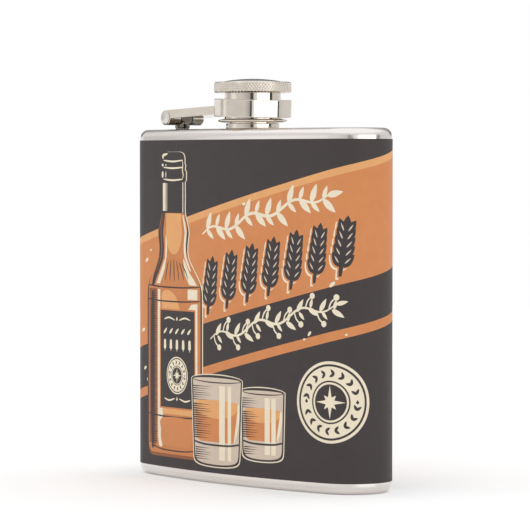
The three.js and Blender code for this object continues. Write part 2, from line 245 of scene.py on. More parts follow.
def fillet(profile, radius, closed):
    """A profile with each corner rounded, as far as its two sides have room."""
    count = len(profile)
    rounded = []
    for i, corner in enumerate(profile):
        here = Vector(corner)
        if not closed and i in (0, count - 1):
            rounded.append(here)
            continue
        before = Vector(profile[i - 1]) - here
        after = Vector(profile[(i + 1) % count]) - here
        angle = before.angle(after)
        if angle > math.radians(175):
            rounded.append(here)
            continue
        reach = min(radius / math.tan(angle / 2), before.length * 0.45, after.length * 0.45)
        start = here + before.normalized() * reach
        end = here + after.normalized() * reach
        for step in range(FILLET_STEPS + 1):
            t = step / FILLET_STEPS
            rounded.append(start.lerp(here, t).lerp(here.lerp(end, t), t))
    return rounded


def turned(name, profile, materials, radius, closed=False, steps=ROUND_STEPS):
    """A turned piece about the Z axis. The profile lists (radius, z). It starts and ends on the axis,
    or closes on itself."""
    outline = fillet(profile, radius, closed)
    points, faces = [], []
    ring_starts = []
    for r, z in outline:
        ring_starts.append(len(points))
        if r < ON_AXIS:
            points.append((0, 0, z))
        else:
            points += [(r * math.cos(t), r * math.sin(t), z)
                       for t in (2 * math.pi * i / steps for i in range(steps))]
    pairs = list(zip(range(len(outline)), range(1, len(outline))))
    if closed:
        pairs.append((len(outline) - 1, 0))
    for a, b in pairs:
        below, above = ring_starts[a], ring_starts[b]
        for i in range(steps):
            j = (i + 1) % steps
            lower = [below] if outline[a][0] < ON_AXIS else [below + i, below + j]
            upper = [above] if outline[b][0] < ON_AXIS else [above + j, above + i]
            faces.append(tuple(lower + upper))
    return new_object(name, points, faces, materials)


def prism(name, outline, low, high, materials):
    """A solid between two heights with an outline that runs counter-clockwise."""
    count = len(outline)
    points = [(x, y, low) for x, y in outline] + [(x, y, high) for x, y in outline]
    faces = [tuple(reversed(range(count))), tuple(range(count, 2 * count))]
    faces += [(i, (i + 1) % count, count + (i + 1) % count, count + i) for i in range(count)]
    return new_object(name, points, faces, materials)


def circle(radius, steps):
    return [(radius * math.cos(2 * math.pi * i / steps), radius * math.sin(2 * math.pi * i / steps))
            for i in range(steps)]


def along_y(piece, x, z):
    """Turns a piece made about the Z axis to lie along Y, through (x, z)."""
    place = Matrix.Translation(Vector((x, 0, z)) * MM)
    piece.data.transform(place @ Matrix.Rotation(math.pi / 2, 4, "X"))
    return piece


def settle(piece, body, node):
    """Puts a finished piece on its body, in place of its CAD node."""
    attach(piece, body)
    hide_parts(node)


# ---------------------------------------------------------------- materials

def linear(value):
    value /= 255
    return value / 12.92 if value <= 0.04045 else ((value + 0.055) / 1.055) ** 2.4


def colour(rgb, factor=1):
    return tuple(linear(c) * factor for c in rgb) + (1,)


def shader_of(material):
    return next(n for n in material.node_tree.nodes if n.type == "BSDF_PRINCIPLED")


def stretched_noise(material, scale, detail):
    """Noise in the piece's own space, with a separate frequency per metre on each axis."""
    nodes, links = material.node_tree.nodes, material.node_tree.links
    place = nodes.new("ShaderNodeTexCoord")
    mapping = nodes.new("ShaderNodeMapping")
    mapping.inputs["Scale"].default_value = scale
    noise = nodes.new("ShaderNodeTexNoise")
    noise.inputs["Scale"].default_value = 1
    noise.inputs["Detail"].default_value = detail
    links.new(place.outputs["Object"], mapping.inputs["Vector"])
    links.new(mapping.outputs["Vector"], noise.inputs["Vector"])
    return noise.outputs["Fac"]


def ranged(material, value, low, high):
    """Spreads a noise value between low and high."""
    node = material.node_tree.nodes.new("ShaderNodeMapRange")
    node.inputs["From Min"].default_value = 0.3
    node.inputs["From Max"].default_value = 0.7
    node.inputs["To Min"].default_value = low
    node.inputs["To Max"].default_value = high
    material.node_tree.links.new(value, node.inputs["Value"])
    return node.outputs["Result"]


def tinted(material, value, first, second):
    """A colour that varies with value between two tints."""
    node = material.node_tree.nodes.new("ShaderNodeMix")
    node.data_type = "RGBA"
    node.inputs["A"].default_value = first
    node.inputs["B"].default_value = second
    material.node_tree.links.new(value, node.inputs["Factor"])
    return node.outputs["Result"]


def bumped(material, value, depth):
    node = material.node_tree.nodes.new("ShaderNodeBump")
    node.inputs["Strength"].default_value = 1
    node.inputs["Distance"].default_value = depth * MM
    material.node_tree.links.new(value, node.inputs["Height"])
    return node.outputs["Normal"]


def surface(name, tints, rough, grain, grain_depth, metallic, patch):
    """A material whose tint, roughness and fine relief all come from noise. grain and patch are
    frequencies per metre along X, Y and Z."""
    material = bpy.data.materials.new(name)
    material.use_nodes = True
    shader = shader_of(material)
    shader.inputs["Metallic"].default_value = metallic
    fine = stretched_noise(material, grain, detail=3)
    broad = stretched_noise(material, patch, detail=2)
    links = material.node_tree.links
    links.new(tinted(material, ranged(material, broad, 0, 1), *tints), shader.inputs["Base Color"])
    links.new(ranged(material, fine, *rough), shader.inputs["Roughness"])
    links.new(bumped(material, fine, grain_depth), shader.inputs["Normal"])
    return material


def ink(name, rgb):
    """Ink on satin vinyl: nearly even, with the faint mottle and peel of a printed film."""
    material = surface("print_" + name, (colour(rgb, 0.93), colour(rgb, 0.99)), (0.46, 0.56),
                       (1900, 1900, 1900), 0.002, 0, (260, 260, 260))
    shader_of(material).inputs["Specular IOR Level"].default_value = 0.16
    return material


def brushed_steel():
    """Sheet steel with long fine scratches round the flask."""
    material = surface("brushed_steel", (colour((222, 216, 211)), colour((232, 227, 222))), (0.19, 0.27),
                       (60, 60, 9000), 0.0014, 1, (25, 25, 900))
    shader_of(material).inputs["Anisotropic"].default_value = 0.6
    shader_of(material).inputs["Anisotropic Rotation"].default_value = 0.25
    return material


def polished_steel():
    return surface("polished_steel", (colour((216, 206, 194)), colour((224, 215, 204))), (0.05, 0.11),
                   (900, 900, 5200), 0.0004, 1, (150, 150, 320))


def knurled_steel():
    """The head of the cap: rolled diamonds, less bright than the polished pieces."""
    return surface("knurled_steel", (colour((206, 197, 186)), colour((222, 213, 202))), (0.07, 0.13),
                   (2600, 2600, 2600), 0.001, 1, (500, 500, 500))


def turned_steel():
    """The hinge post: dark, with tool marks round it."""
    return surface("turned_steel", (colour((112, 109, 102)), colour((142, 138, 130))), (0.14, 0.26),
                   (300, 300, 9000), 0.0012, 1, (300, 300, 700))


def upset_steel():
    """The hinge pin: bright, with the small dents of the tool that spread its heads."""
    return surface("upset_steel", (colour((204, 198, 190)), colour((224, 219, 211))), (0.08, 0.2),
                   (1500, 1500, 1500), 0.03, 1, (900, 900, 900))


def knuckle_painted_shade():
    """The knuckles' round undersides: steel tinted darker as painted shade, for the shade that falls under
    the knuckles.
    """
    return surface("knuckle_painted_shade", (colour((120, 114, 105)), colour((150, 143, 133))), (0.09, 0.18),
                   (700, 5200, 700), 0.0006, 1, (400, 400, 400))


def liner_plastic():
    material = surface("liner_plastic", (colour((226, 222, 213)), colour((236, 233, 226))), (0.5, 0.62),
                       (2400, 2400, 2400), 0.002, 0, (300, 300, 300))
    shader_of(material).inputs["Specular IOR Level"].default_value = 0.4
    return material


FLOOR_GLOW = 0.1            # lifts the paper to white, as a lit backdrop is


def floor_paper():
    material = surface("floor_paper", (colour((252, 252, 252)), colour((254, 254, 254))), (0.85, 0.95),
                       (900, 900, 900), 0.01, 0, (12, 12, 12))
    shader_of(material).inputs["Specular IOR Level"].default_value = 0
    shader_of(material).inputs["Emission Color"].default_value = (1, 1, 1, 1)
    shader_of(material).inputs["Emission Strength"].default_value = FLOOR_GLOW
    return material


BRUSHED = brushed_steel()
POLISHED = polished_steel()
KNURLED = knurled_steel()
TURNED = turned_steel()
UPSET = upset_steel()
KNUCKLE_PAINTED_SHADE = knuckle_painted_shade()
LINER = liner_plastic()


# ---------------------------------------------------------------- printed picture

BAND_RISE = 0.24            # slope of every printed band
CURVE_STEPS = 6


def curve(points):
    """A smooth line through points."""
    ends = [points[0], *points, points[-1]]
    line = []
    for a, b, c, d in zip(ends, ends[1:], ends[2:], ends[3:]):
        a, b, c, d = (Vector(p) for p in (a, b, c, d))
        for step in range(CURVE_STEPS):
            t = step / CURVE_STEPS
            line.append(0.5 * (2 * b + (c - a) * t + (2 * a - 5 * b + 4 * c - d) * t * t
                               + (3 * b - a - 3 * c + d) * t ** 3))
    line.append(Vector(points[-1]))
    return line


class Picture:
    """Flat shapes in the vinyl's own plane, painted one over another: (s, z) in millimetres."""

    def __init__(self):
        self.shapes = []

    def paint(self, name, points):
        points = [Vector(p) for p in points]
        area = sum(a.cross(b) for a, b in zip(points, points[1:] + points[:1]))
        self.shapes.append((name, points if area > 0 else points[::-1]))

    def bar(self, name, left, right, bottom, top):
        self.paint(name, [(left, bottom), (right, bottom), (right, top), (left, top)])

    def oval(self, name, centre, wide, high, steps=40):
        self.paint(name, [(centre[0] + wide * math.cos(2 * math.pi * i / steps),
                           centre[1] + high * math.sin(2 * math.pi * i / steps)) for i in range(steps)])

    def disc(self, name, centre, radius, steps=64):
        self.oval(name, centre, radius, radius, steps)

    def star(self, name, centre, outer, inner, points):
        corners = []
        for i in range(2 * points):
            angle = math.radians(90 + 180 * i / points)
            radius = inner if i % 2 else outer[(i // 2) % len(outer)]
            corners.append((centre[0] + radius * math.cos(angle), centre[1] + radius * math.sin(angle)))
        self.paint(name, corners)

    def leaf(self, name, foot, length, width, angle, steps=8):
        """A pointed oval from foot, in the direction of angle."""
        ahead = Vector((math.cos(math.radians(angle)), math.sin(math.radians(angle))))
        across = Vector((-ahead.y, ahead.x))
        edge = []
        for side in (1, -1):
            for i in range(steps):
                t = i / steps if side == 1 else 1 - i / steps
                bulge = math.sin(math.pi * t ** 0.8) ** 0.85 if 0 < t < 1 else 0
                edge.append(Vector(foot) + ahead * (length * t) + across * (side * bulge * width / 2))
        self.paint(name, edge)

    def stroke(self, name, path, width, blunt=0.12):
        """A pen stroke that swells in its middle and thins to its ends."""
        left, right = [], []
        last = len(path) - 1
        for i, point in enumerate(path):
            ahead = path[min(i + 1, last)] - path[max(i - 1, 0)]
            across = Vector((-ahead.y, ahead.x)).normalized()
            swell = max(0, math.sin(math.pi * i / last)) ** 0.6
            half = width / 2 * (blunt + (1 - blunt) * swell)
            left.append(point + across * half)
            right.append(point - across * half)
        self.paint(name, left + right[::-1])


def slanted_band(picture, name, low, high):
    """A band right round the flask, between two heights at the middle of the front."""
    reach = SECTION.seam + 1
    picture.paint(name, [(-reach, low - BAND_RISE * reach), (reach, low + BAND_RISE * reach),
                         (reach, high + BAND_RISE * reach), (-reach, high - BAND_RISE * reach)])


def bands(picture):
    slanted_band(picture, "orange", 46.5, 76.2)
    slanted_band(picture, "apricot", 76.1, 78.1)
    slanted_band(picture, "orange", 31.8, 34.4)


BOTTLE_AXIS = -22.85
# Half widths of the printed bottle, from its base up: (z, half width)
BOTTLE_BODY = [(6, 11.4), (6.7, 12.8), (9, 13.6), (18, 13.6), (34, 13.6), (50, 13.6), (54, 13.3),
               (57, 11.7), (60, 9.2), (63, 7.1), (66, 6.8), (70, 7.4), (73, 6.5), (75.5, 5.6)]
BOTTLE_TOP = [(75.5, 5.6), (80, 5.6), (84, 5.6), (84.5, 6.1), (87, 6.1), (87.5, 5.6), (88.7, 5.8),
              (89.3, 5.5), (91, 5.4), (92.2, 4.6), (92.6, 2.8)]


def bottle_shape(profile, grow=0.0, shift=0.0, lift=0.0):
    """The outline of a part of the bottle, a little larger or smaller, or moved."""
    right = curve([(BOTTLE_AXIS + shift + half + grow, z + lift) for z, half in profile])
    left = [Vector((2 * (BOTTLE_AXIS + shift) - point.x, point.y)) for point in right]
    return right + left[::-1]


def bottle_half(z):
    """Half width of the bottle at height z."""
    profile = BOTTLE_BODY + BOTTLE_TOP[1:]
    for (z0, h0), (z1, h1) in zip(profile, profile[1:]):
        if z0 <= z <= z1:
            return h0 + (h1 - h0) * (z - z0) / (z1 - z0)
    return profile[-1][1]


def beside_axis(share, bottom, top, inset=0.0, count=14):
    """A line up the bottle at a share of its half width, from bottom to top."""
    heights = [bottom + (top - bottom) * i / (count - 1) for i in range(count)]
    return [Vector((BOTTLE_AXIS + math.copysign(max(bottle_half(z) - inset, 0), share) * abs(share), z))
            for z in heights]


def hatching(picture, name, left, right, bottom, top, gap, width):
    """Short tapered lines across a strip, of gently changing length."""
    count = int((top - bottom) / gap)
    for i in range(count):
        z = bottom + gap * (i + 0.5)
        reach = right - (right - left) * 0.35 * (0.5 + 0.5 * math.sin(1.9 * i))
        picture.paint(name, [(left, z - width / 2), (reach, z), (left, z + width / 2)])


def on_bottle(*points):
    """Points given by their distance from the bottle's axis, and their height."""
    return [Vector((BOTTLE_AXIS + across, z)) for across, z in points]


def bottle_glass(picture):
    """The bottle's outlines and the amber glass, with its shaded and shining sides."""
    whole = BOTTLE_BODY + BOTTLE_TOP[1:]
    picture.paint("cream", bottle_shape(whole, 0.42, 0.52, 0.05))
    picture.paint("charcoal", bottle_shape(whole, 0.42, 0.1))
    picture.paint("sienna", bottle_shape(BOTTLE_BODY, -0.3))
    picture.paint("amber", bottle_shape(BOTTLE_BODY, -0.3, 0.1, 0.9))
    left = BOTTLE_AXIS - 13.6
    picture.bar("sienna", left + 0.8, left + 5, 9.5, 53.8)
    picture.stroke("charcoal", [Vector((left + 2.6, 8 + 5 * i)) for i in range(10)], 2.3, 0.4)
    hatching(picture, "charcoal", left + 3.2, left + 5.5, 8.5, 53.5, 0.66, 0.5)
    picture.bar("cream", left + 5.6, left + 6.9, 19.8, 53.6)
    picture.paint("cream", curve(on_bottle((-8, 20), (-6.7, 20), (-5, 19), (-6.2, 15), (-6.4, 11.5),
                                           (-5.6, 9), (-7.4, 9), (-8, 12))))
    picture.stroke("cream", beside_axis(0.9, 59, 74.8, 0.2), 1.0, 0.4)
    picture.oval("apricot", (BOTTLE_AXIS + 0.5, 70), 4.1, 6.4)
    picture.bar("apricot", BOTTLE_AXIS - 3.4, BOTTLE_AXIS + 4.3, 70, 75.2)
    picture.stroke("charcoal", beside_axis(-0.84, 54.5, 76, 0.1), 2.1, 0.6)
    picture.stroke("sienna", beside_axis(-0.86, 58, 75.2, 0.1), 0.5)
    picture.stroke("cream", beside_axis(-0.5, 60, 69), 0.8)
    picture.paint("cream", on_bottle((-8.8, 55.2), (-6.8, 55.2), (-4.2, 59.5), (-3.5, 62.5), (-4.2, 62.3),
                                     (-5.6, 60)))


def bottle_shoulder(picture):
    """Folds of light on the shoulder, and the lines round the body."""
    picture.paint("cream", on_bottle((5.2, 62.5), (5.9, 62), (8, 58.9), (10.6, 56.4), (11.8, 55),
                                     (8.2, 55.1), (6, 58)))
    for share in (-0.3, -0.12, 0.06, 0.24, 0.42, 0.58):
        foot = Vector((BOTTLE_AXIS + share * 13, 55.8 + 1.4 * abs(share)))
        head = Vector((BOTTLE_AXIS + share * 7.5, 62.4 - 2 * abs(share)))
        middle = (foot + head) / 2 + Vector((share * 0.6, 0))
        picture.stroke("charcoal", curve([foot, middle, head]), 0.42)
    picture.paint("apricot", curve(on_bottle((-5.6, 48.1), (-5.6, 52.6), (-2, 53.4), (1.6, 51.6),
                                             (3.4, 48.1))))
    picture.bar("cream", BOTTLE_AXIS + 7.4, BOTTLE_AXIS + 12, 51, 53.9)
    picture.paint("cream", on_bottle((12, 49.9), (9.2, 49.7), (7.6, 48.2), (10.9, 48.2), (10.9, 20),
                                     (12, 20)))
    for z in (54.4, 50.4, 17.6):
        line = on_bottle((-13.3, z + 0.3), (-6, z - 0.1), (5, z - 0.1), (13.3, z + 0.3))
        picture.stroke("charcoal", curve(line), 0.45, 0.5)


def bottle_foot(picture):
    """The lit glass under the label."""
    picture.bar("apricot", BOTTLE_AXIS - 5.5, BOTTLE_AXIS + 10, 18.2, 19.8)
    picture.paint("orange", curve(on_bottle((-5.6, 9.2), (-6.2, 13), (-5.6, 17), (8.6, 17), (9.4, 13),
                                            (8.4, 9.2))))
    picture.stroke("charcoal", curve(on_bottle((-12, 8.9), (-5, 8), (6, 8), (13, 8.9))), 0.4, 0.4)


def bottle_top(picture):
    """The dark sleeve and the ringed cap, drawn with highlights only."""
    left = BOTTLE_AXIS - 5.2
    picture.bar("charcoal", BOTTLE_AXIS - 5.7, BOTTLE_AXIS + 5.7, 75.3, 84.5)
    picture.bar("cream", left, left + 1.5, 75.9, 83.8)
    picture.bar("glass", left + 1.9, left + 2.3, 75.9, 83.8)
    picture.bar("cream", BOTTLE_AXIS + 4.9, BOTTLE_AXIS + 5.3, 75.5, 84)
    for z, rise in ((84.6, 0.3), (88, 0.25), (89.9, 0.35)):
        picture.stroke("cream", curve(on_bottle((-4.8, z + rise), (0, z), (5, z + rise))), 0.5, 0.4)
    for z, wide, narrow in ((86.2, 0.95, 0.9), (88.9, 0.4, 0.35)):
        picture.oval("cream", (left - 0.1, z), 0.5, wide)
        picture.oval("cream", (left + 1.6, z), 0.22, narrow)
    picture.stroke("cream", curve(on_bottle((-5, 90.6), (-5, 91.6), (-2.6, 92.1))), 0.8)
    picture.stroke("cream", curve(on_bottle((4.9, 85), (5.3, 86), (4.9, 87.4), (5.1, 88.8), (4.9, 90.4))),
                   0.45)


def round_badge(picture, centre, radius, leaves):
    """Rings round a compass star, with a wreath of leaves in two arcs between the rings."""
    for share, name in ((1, "cream"), (0.93, "charcoal"), (0.875, "cream"), (0.53, "charcoal"),
                        (0.49, "cream"), (0.44, "charcoal")):
        picture.disc(name, centre, radius * share, 72)
    middle = radius * 0.7
    for half in (0, 1):
        for i in range(leaves):
            angle = 180 * half + 16 + (148 / (leaves - 1)) * i
            spot = Vector((math.cos(math.radians(angle)), math.sin(math.radians(angle)))) * middle
            for side in (1, -1):
                foot = Vector(centre) + spot * (1 - side * 0.02)
                picture.leaf("charcoal", foot, radius * 0.17, radius * 0.075, angle + 90 - side * 42)
    for side in (1, -1):
        spot = Vector(centre) + Vector((side * middle, 0))
        picture.star("charcoal", spot, (radius * 0.07, radius * 0.045), radius * 0.045, 2)
    picture.star("cream", centre, (radius * 0.41, radius * 0.24), radius * 0.13, 8)


def label(picture):
    """The bottle's dark label, with ornaments only."""
    left, right, bottom, top = BOTTLE_AXIS - 6.45, BOTTLE_AXIS + 10.6, 20.2, 47.7
    middle = (left + right) / 2
    picture.bar("amber", left - 0.5, right + 0.45, bottom - 0.45, top + 0.45)
    picture.bar("charcoal", left, right, bottom, top)
    for z, rise in ((45.3, 0.7), (22.6, -0.7)):
        for side in (1, -1):
            flourish = [(middle + side * 6.6, z - 0.2 * rise), (middle + side * 4, z + 0.6 * rise),
                        (middle + side, z - 0.4 * rise)]
            picture.stroke("cream", curve(flourish), 0.5)
        picture.star("cream", (middle, z), (0.8, 0.5), 0.4, 2)
    for i in range(5):
        picture.leaf("cream", (middle + 3 * (i - 2) - 0.9, 41.1), 2.5, 0.8, 42)
        barley_ear(picture, (middle + 3.1 * (i - 2), 36.2), 0.21, 90, ["cream"])
    round_badge(picture, (middle, 29.4), 5.3, 7)


def barley_ear(picture, foot, size, lean, names):
    """An ear of barley: a stem and pairs of grains. Each further name is painted over the one before,
    a step up and to the right, which leaves a printed shadow at the lower left."""
    axis = Vector((math.cos(math.radians(lean)), math.sin(math.radians(lean))))
    for layer, name in enumerate(names):
        back = 0.44 * (len(names) - 1 - layer)
        start = Vector(foot) - Vector((back, back))
        picture.stroke(name, [start + axis * (size * d) for d in (0, 1.6, 3.2, 4.8)], 1.2 * size, 0.7)
        for pair in range(5):
            spot = start + axis * (size * (2.6 + 2.15 * pair))
            for side in (1, -1):
                picture.leaf(name, spot, 4.9 * size, 2.6 * size, lean + side * (40 - 3 * pair))
        picture.leaf(name, start + axis * (size * 12), 4.6 * size, 2.4 * size, lean)


def grain_lights(picture, foot, size, lean):
    """A thin light along each grain of a large ear."""
    axis = Vector((math.cos(math.radians(lean)), math.sin(math.radians(lean))))
    for pair in range(5):
        for side in (1, -1):
            angle = lean + side * (40 - 3 * pair)
            ahead = Vector((math.cos(math.radians(angle)), math.sin(math.radians(angle))))
            spot = Vector(foot) + axis * (size * (2.6 + 2.15 * pair)) + ahead * (1.3 * size)
            picture.leaf("glass", spot, 2.3 * size, 0.42 * size, angle)


def ear_row(picture):
    """Seven large ears that stand along the orange band."""
    for i in range(7):
        s = -6.2 + 8.15 * i
        foot = (s, 48.7 + BAND_RISE * s)
        barley_ear(picture, foot, 1.0, 82, ["cream", "orange", "charcoal"])
        grain_lights(picture, foot, 1.0, 82)


def vine(picture, name, start, end, height, sway, leaf_length, gap):
    """A swaying stem along a band, with a longer and a shorter leaf at each place."""
    slope = math.degrees(math.atan(BAND_RISE))

    def point(s):
        return Vector((s, height + BAND_RISE * s + sway * math.sin(math.pi * (s - start) / (2 * gap))))

    count = int((end - start) / 0.8)
    picture.stroke(name, [point(start + (end - start) * i / count) for i in range(count + 1)], 0.85, 0.5)
    leaves = int((end - start) / gap)
    for i in range(leaves):
        spot = point(start + gap * (i + 0.5))
        for side in (1, -1):
            length = leaf_length * (1 if (i % 2 == 0) == (side > 0) else 0.72)
            picture.leaf(name, spot, length, 0.36 * length, slope + side * (50 + 6 * length / leaf_length))
    picture.leaf(name, point(end - 0.6), leaf_length * 0.9, leaf_length * 0.34, slope)


def berry_sprig(picture, name, start, end, height, gap):
    """A thin swaying stem, with a stalked berry and a leaf at alternate sides, and a smaller leaf between
    them."""
    def point(s):
        return Vector((s, height + BAND_RISE * s + 1.3 * math.sin(math.pi * (s - start) / (2 * gap))))

    count = int((end - start) / 0.8)
    picture.stroke(name, [point(start + (end - start) * i / count) for i in range(count + 1)], 0.7, 0.4)
    for i in range(int((end - start) / gap)):
        side = 1 if i % 2 else -1
        foot = point(start + gap * (i + 0.4))
        berry = foot + Vector((2.3, side * 3.3))
        picture.stroke(name, curve([foot, foot + Vector((0.7, side * 1.9)), berry]), 0.45, 0.7)
        picture.disc(name, berry, 0.85, 20)
        picture.leaf(name, foot + Vector((0.9, 0)), 4.2, 1.45, 14 - side * 44)
        picture.leaf(name, foot + Vector((1.6, 0)), 2.8, 1.0, 14 + side * 62)
    picture.leaf(name, point(end - 0.5), 3.6, 1.2, 14)


def rounded_cup(centre, half_top, half_bottom, bottom, top, grow=0.0):
    """The outline of a tumbler that narrows a little to a bowed, round-cornered base."""
    b, low = half_bottom + grow, bottom - grow
    base = curve([(0, low - 0.35), (0.45 * b, low - 0.2), (0.78 * b, low + 0.25), (0.95 * b, low + 1.1),
                  (b, low + 2.6)])
    right = [(centre + p.x, p.y) for p in base] + [(centre + half_top + grow, top)]
    return right + [(2 * centre - s, z) for s, z in reversed(right[1:])]


def tumbler(picture, centre, half_top, half_bottom, bottom, top, lights):
    """A tumbler of amber drink: thick glass base, drink with an oval surface, lines of light."""
    height = top - bottom
    rim_high = 0.05 * half_top + 0.42
    floor_z = bottom + 0.24 * height
    drink_z = bottom + 0.73 * height

    def half(z):
        return half_bottom + (half_top - half_bottom) * (z - bottom) / height

    picture.paint("cream", rounded_cup(centre, half_top, half_bottom, bottom, top, 0.68))
    picture.oval("cream", (centre, top), half_top + 0.68, rim_high + 0.68)
    picture.paint("charcoal", rounded_cup(centre, half_top, half_bottom, bottom, top, 0.38))
    picture.oval("charcoal", (centre, top), half_top + 0.38, rim_high + 0.38)
    picture.paint("glass", rounded_cup(centre, half_top, half_bottom, bottom, top, -0.15))
    picture.oval("charcoal", (centre, top), half_top - 0.1, rim_high)
    picture.oval("glass", (centre, top), half_top - 0.5, rim_high - 0.35)
    drink_half, floor_half = half(drink_z) - 1.0, half(floor_z) - 1.3
    picture.paint("orange", [
        (centre - floor_half, floor_z + 1.2), (centre - 0.8 * floor_half, floor_z + 0.5),
        (centre + 0.8 * floor_half, floor_z + 0.5), (centre + floor_half, floor_z + 1.2),
        (centre + drink_half, drink_z), (centre - drink_half, drink_z)])
    sweeps = [math.pi * (i / 12 - 0.5) for i in range(13)]
    picture.paint("apricot", [(centre + drink_half * math.sin(sweep),
                               drink_z - 0.19 * height * max(0, math.cos(sweep)) ** 0.7)
                              for sweep in sweeps])
    picture.oval("apricot", (centre, drink_z), drink_half, rim_high * 0.75)
    for left, bottom_z, top_z, width in ((half_top - 0.2, drink_z + 0.3, top - rim_high - 0.3, 0.32),
                                         (half_top - 0.5, floor_z + 1.2, drink_z, 0.42),
                                         (half_bottom - 0.4, bottom + 0.9, floor_z - 0.8, 0.36)):
        hatching(picture, "charcoal", centre - left, centre - 0.08 * left, bottom_z, top_z, 0.62, width)
    for left, right in lights:
        picture.bar("cream", centre + left, centre + right, bottom + 1.2, top - rim_high - 0.7)
    shine = curve([(centre + drink_half + 0.2, drink_z),
                   (centre + drink_half - 0.1, (drink_z + floor_z) / 2 + 1),
                   (centre + floor_half - 0.7, floor_z + 0.7)])
    picture.stroke("cream", shine, 1.1, 0.3)
    reach, low_reach = half(floor_z), 0.5 * half_bottom
    base_line = [(centre - reach, floor_z + 0.35), (centre - low_reach, floor_z - 0.3),
                 (centre + low_reach, floor_z - 0.3), (centre + reach, floor_z + 0.35)]
    picture.stroke("charcoal", curve(base_line), 0.55, 0.8)


def specks(picture):
    """Small flecks of ink: (s, z, half length, half width, angle)."""
    for s, z, long, wide, angle in (
            (9, 78.2, 0.7, 0.4, 14), (25.5, 54.2, 0.5, 0.25, 10), (40.5, 56.8, 1.1, 0.5, 40),
            (33, 43.3, 0.8, 0.4, 50), (31.2, 41.7, 0.4, 0.3, 0), (44.5, 43.3, 0.35, 0.3, 0),
            (-37.2, 61.7, 0.9, 0.5, 30), (-34.8, 64.6, 0.4, 0.35, 60), (-39.3, 41.6, 1.0, 0.5, 20),
            (-38.2, 30.7, 0.8, 0.45, 30), (-36.8, 27.5, 0.35, 0.5, 0)):
        ahead = Vector((math.cos(math.radians(angle)), math.sin(math.radians(angle)))) * long
        across = Vector((-ahead.y, ahead.x)).normalized() * wide
        picture.paint("cream", [Vector((s, z)) + ahead * math.cos(t) + across * math.sin(t)
                                for t in (2 * math.pi * i / 14 for i in range(14))])


def printed_picture():
    picture = Picture()
    bands(picture)
    ear_row(picture)
    vine(picture, "cream", -8.5, 39.5, 71.6, 1.2, 5.4, 4.0)
    berry_sprig(picture, "cream", -5, 42, 41.6, 3.9)
    specks(picture)
    bottle_glass(picture)
    bottle_shoulder(picture)
    bottle_foot(picture)
    bottle_top(picture)
    label(picture)
    tumbler(picture, 16.1, 7.9, 7.4, 8.3, 26.6, ((0.9, 2.8), (3.4, 5.0)))
    tumbler(picture, -2.6, 10.5, 9.5, 5.6, 29.1, ((1.4, 3.8), (5.0, 6.4)))
    round_badge(picture, (39.8, 25), 11.1, 8)
    return picture


# ---------------------------------------------------------------- vinyl

def mosaic(picture, places, bottom, top):
    """Cuts the flat vinyl along the edge of every shape and along every place. Returns its corners,
    its triangles, and the ink of each triangle, which is the last one painted over it."""
    corners, lines = [], []
    outlines = []
    inks = ["charcoal"]

    def add(points):
        outlines.append(list(range(len(corners), len(corners) + len(points))))
        corners.extend(points)

    left, right = places[0], places[-1]
    add([Vector((left, bottom)), Vector((right, bottom)), Vector((right, top)), Vector((left, top))])
    for name, points in picture.shapes:
        inks.append(name)
        add(points)
    for s in places[1:-1]:
        lines.append((len(corners), len(corners) + 1))
        corners += [Vector((s, bottom)), Vector((s, top))]
    flat, _, triangles, _, _, sources = delaunay_2d_cdt(corners, lines, outlines, 1, 1e-4, True)
    kept = [(t, inks[max(found)]) for t, found in zip(triangles, sources) if 0 in found]
    return flat, [t for t, _ in kept], [name for _, name in kept]


def vinyl_wrap():
    """The printed film: the mosaic on the outside, the same again a film's thickness inside."""
    bottom, top = lowest("vinyl_wrap"), highest("vinyl_wrap")
    places = SECTION.stations()
    places[0] += SEAM_GAP
    places[-1] -= SEAM_GAP
    flat, triangles, names = mosaic(printed_picture(), places, bottom, top)
    count = len(flat)
    points, normals = [], []
    for inset, facing in ((0, 1), (FILM, -1)):
        for s, z in flat:
            point, out = SECTION.at(s)
            points.append(point - out * inset + Vector((0, 0, z)))
            normals.append(out * facing)
    order = list(INKS)
    faces = [tuple(t) for t in triangles] + [tuple(count + i for i in reversed(t)) for t in triangles]
    face_inks = [order.index(name) for name in names] * 2
    borders = {}
    for t, name in zip(triangles, names):
        for a, b in zip(t, t[1:] + t[:1]):
            if borders.pop((b, a), None) is None:
                borders[(a, b)] = order.index(name)
    for (a, b), which in borders.items():
        faces.append((b, a, a + count, b + count))
        face_inks.append(which)
    inks = [ink(name, rgb) for name, rgb in INKS.items()]
    wrap = new_object("printed_wrap", points, faces, inks, face_inks)
    wrap.data.shade_smooth()
    loops = [normals[loop.vertex_index] for loop in wrap.data.loops]
    edge_faces = range(2 * len(triangles), len(faces))
    for face in edge_faces:
        polygon = wrap.data.polygons[face]
        for loop in polygon.loop_indices:
            loops[loop] = polygon.normal.copy()
    wrap.data.normals_split_custom_set(loops)
    settle(wrap, "flask", "vinyl_wrap")


# ---------------------------------------------------------------- end plates

def plate_rings(outer_z, direction):
    """Rings of a drawn end plate, from the inside of its flat, round its rim, to the outside."""
    steps = 12

    def shoulder(radius, step):
        angle = math.pi / 2 * step / steps
        inset = STEEL_INSET + EDGE_RADIUS - radius * math.cos(angle)
        return SECTION.ring(inset, outer_z - direction * (EDGE_RADIUS - radius * math.sin(angle)))

    lip = outer_z - direction * PLATE_SKIRT
    rings = [shoulder(EDGE_RADIUS - SHEET, step) for step in range(steps, -1, -1)]
    rings.append(SECTION.ring(STEEL_INSET + SHEET, lip))
    rings.append(SECTION.ring(STEEL_INSET, lip))
    rings += [shoulder(EDGE_RADIUS, step) for step in range(steps + 1)]
    return rings


